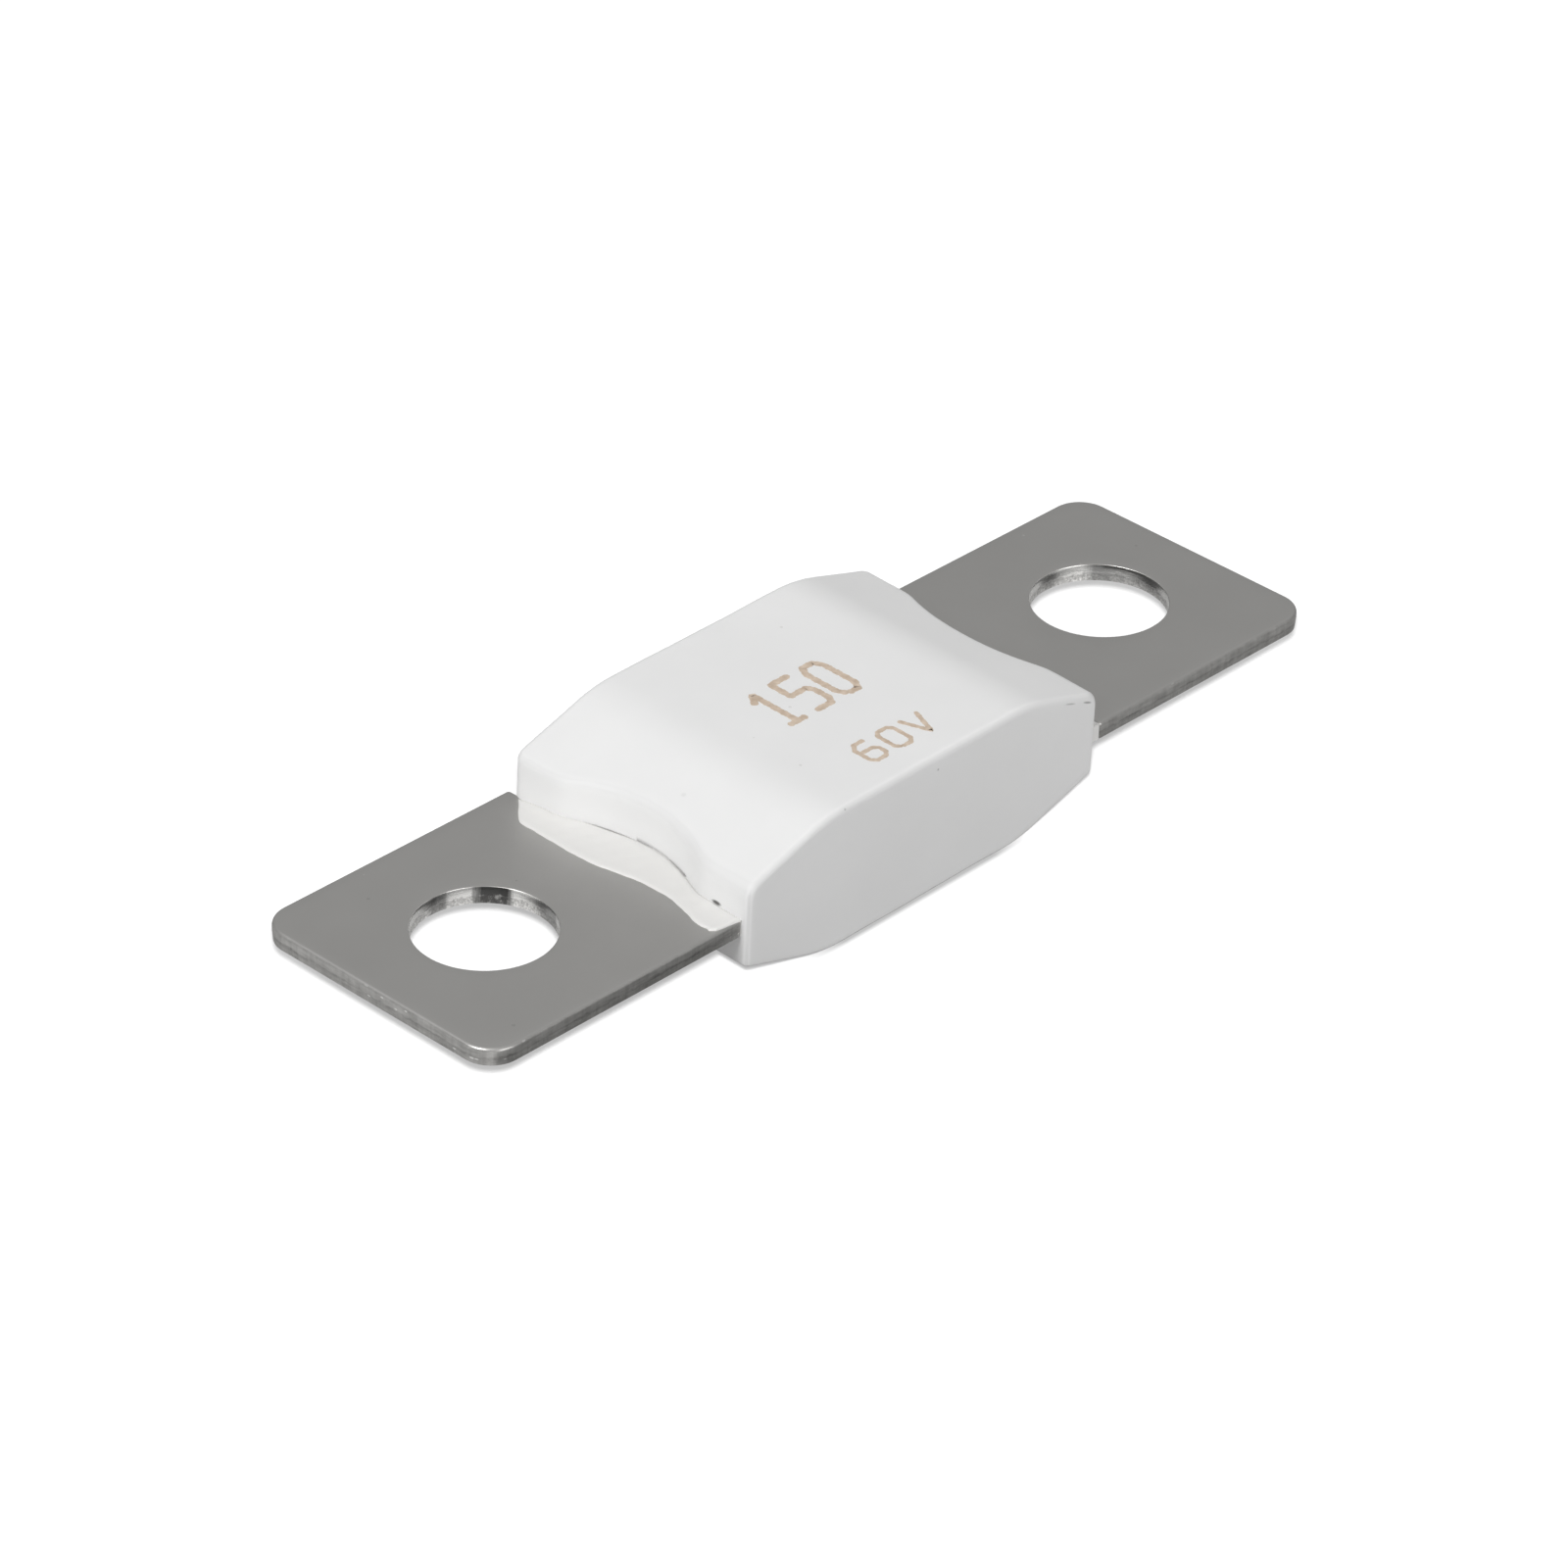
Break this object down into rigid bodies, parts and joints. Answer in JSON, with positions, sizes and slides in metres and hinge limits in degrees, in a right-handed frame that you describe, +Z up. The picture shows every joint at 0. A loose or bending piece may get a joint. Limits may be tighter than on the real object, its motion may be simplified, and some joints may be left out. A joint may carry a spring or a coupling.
{
  "type": "bolt down strip fuse",
  "caption": "Bolt-down strip fuse: white six-sided ceramic sleeve with scooped ends, two flat stamped terminals with bolt holes, sealed mouths and a perforated element inside.",
  "frame": {"origin": "on the plane that the sleeve stands on, midway between the two bolt holes and on their centre line", "axes": "+X along the terminals towards the right one, +Y across them, +Z up out of the sleeve's top flat"},
  "size_m": [0.068, 0.0189, 0.0094],
  "materials": {
    "white_ceramic": "unglazed, fine matte",
    "tinned_metal": "matte tin plating on copper",
    "bare_copper": "rolled copper strip",
    "tin": "bright cast drop",
    "sealing_compound": "smooth, slightly warm white"
  },
  "bodies": {
    "root": {"ceramic_body": "white_ceramic", "left_terminal": "tinned_metal", "right_terminal": "tinned_metal", "fuse_element": "bare_copper", "tin_spot": "tin", "left_end_seal": "sealing_compound", "right_end_seal": "sealing_compound"}
  },
  "joints": []
}
